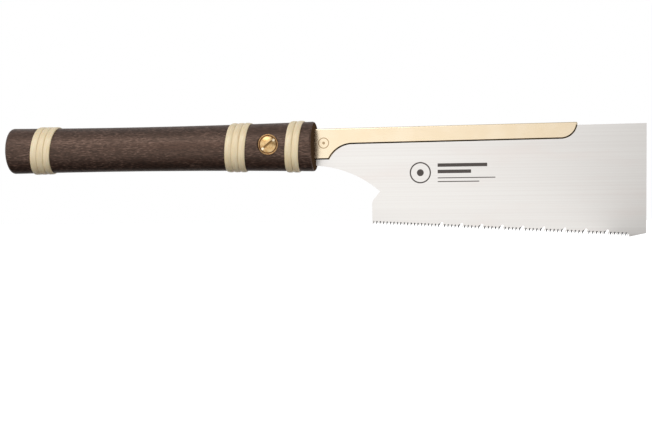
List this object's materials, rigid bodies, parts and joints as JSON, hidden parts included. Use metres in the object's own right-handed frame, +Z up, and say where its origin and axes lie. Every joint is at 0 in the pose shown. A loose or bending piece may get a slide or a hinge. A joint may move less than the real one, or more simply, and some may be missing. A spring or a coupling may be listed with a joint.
{
  "type": "japanese pull saw",
  "caption": "Pull-stroke back saw with a round rattan-bound wooden grip and a screw-clamped, brass-backed blade that slides out.",
  "frame": {"origin": "centre of the flat butt face of the handle, on the handle's axis", "axes": "+X along the handle towards the toe of the blade, +Z up towards the brass back, teeth towards -Z, blade in the XZ plane, screw head towards -Y"},
  "size_m": [0.4881, 0.0397, 0.0898],
  "materials": {
    "roasted_beech": "satin oiled, straight grain with short light flecks",
    "rattan_cane": "glossy natural cane skin with fine fibres",
    "sheet_brass": "satin, brushed lengthwise",
    "turned_brass": "polished, with fine turning marks",
    "blade_steel": "fine brushed, bright",
    "liner_steel": "dull rolled sheet",
    "rivet_steel": "ground flush"
  },
  "bodies": {
    "handle": {"handle_near_half": "roasted_beech", "handle_far_half": "roasted_beech", "rattan_wrap_butt": "rattan_cane", "rattan_wrap_middle": "rattan_cane", "rattan_wrap_front": "rattan_cane", "tang_liner": "liner_steel", "barrel_nut": "turned_brass", "nut_cup_washer": "turned_brass"},
    "cup_washer": {"screw_cup_washer": "turned_brass"},
    "clamp_screw": {"clamp_screw": "turned_brass"},
    "blade_unit": {"brass_back": "sheet_brass", "saw_blade": "blade_steel", "tang_rivet_upper": "rivet_steel", "tang_rivet_lower": "rivet_steel"}
  },
  "joints": [
    {"name": "screw_lift", "type": "slide", "parent": "handle", "child": "cup_washer", "axis": [0, -1, 0], "range_m": [0, 0.0064]},
    {"name": "screw_turn", "type": "hinge", "parent": "cup_washer", "child": "clamp_screw", "pos_m": [0.2086, 0, 0.00126], "axis": [0, -1, 0], "range_deg": [0, 2881]},
    {"name": "blade_slide", "type": "slide", "parent": "handle", "child": "blade_unit", "axis": [1, 0, 0.0087], "range_m": [0, 0.055]}
  ],
  "couplings": [
    {"joint": "screw_turn", "follows": "screw_lift", "rad_per_m": 7854}
  ]
}
